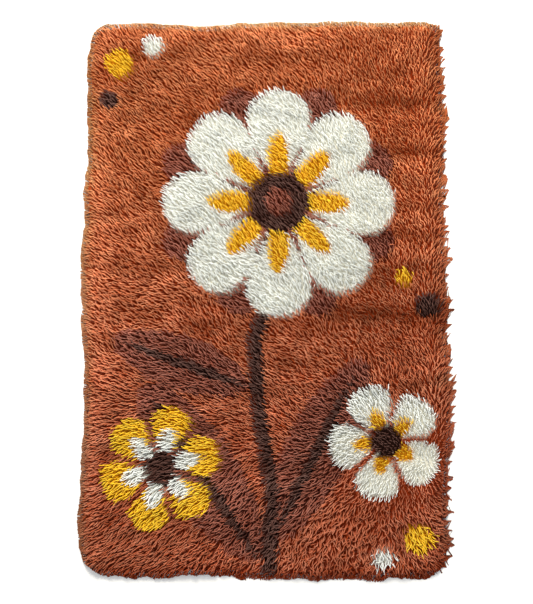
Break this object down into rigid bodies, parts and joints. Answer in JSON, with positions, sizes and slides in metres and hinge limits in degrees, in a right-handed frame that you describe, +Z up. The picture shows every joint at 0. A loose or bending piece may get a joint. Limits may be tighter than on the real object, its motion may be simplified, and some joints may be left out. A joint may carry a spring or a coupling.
{
  "type": "rya rug",
  "caption": "Small rectangular rya rug laid flat, with a deep, leaning, shaggy wool pile knotted on a woven ground cloth and locks spilling over its rim.",
  "frame": {"origin": "middle of the rug's outline, on the floor it lies on", "axes": "+X across the width, +Y along the length towards the end the middle of the pile leans to, +Z up out of the pile"},
  "size_m": [0.79, 1.2, 0.0302],
  "materials": {
    "yarn_rust": "matte wool, leaning pile",
    "yarn_cream": "matte wool, leaning pile",
    "yarn_gold": "matte wool, leaning pile",
    "yarn_dark_brown": "matte wool, leaning pile",
    "yarn_mauve_brown": "matte wool, leaning pile",
    "ground_cloth": "matte plain-woven wool and linen"
  },
  "bodies": {
    "root": {"ground_cloth": "ground_cloth", "pile": "yarn_rust"}
  },
  "joints": []
}
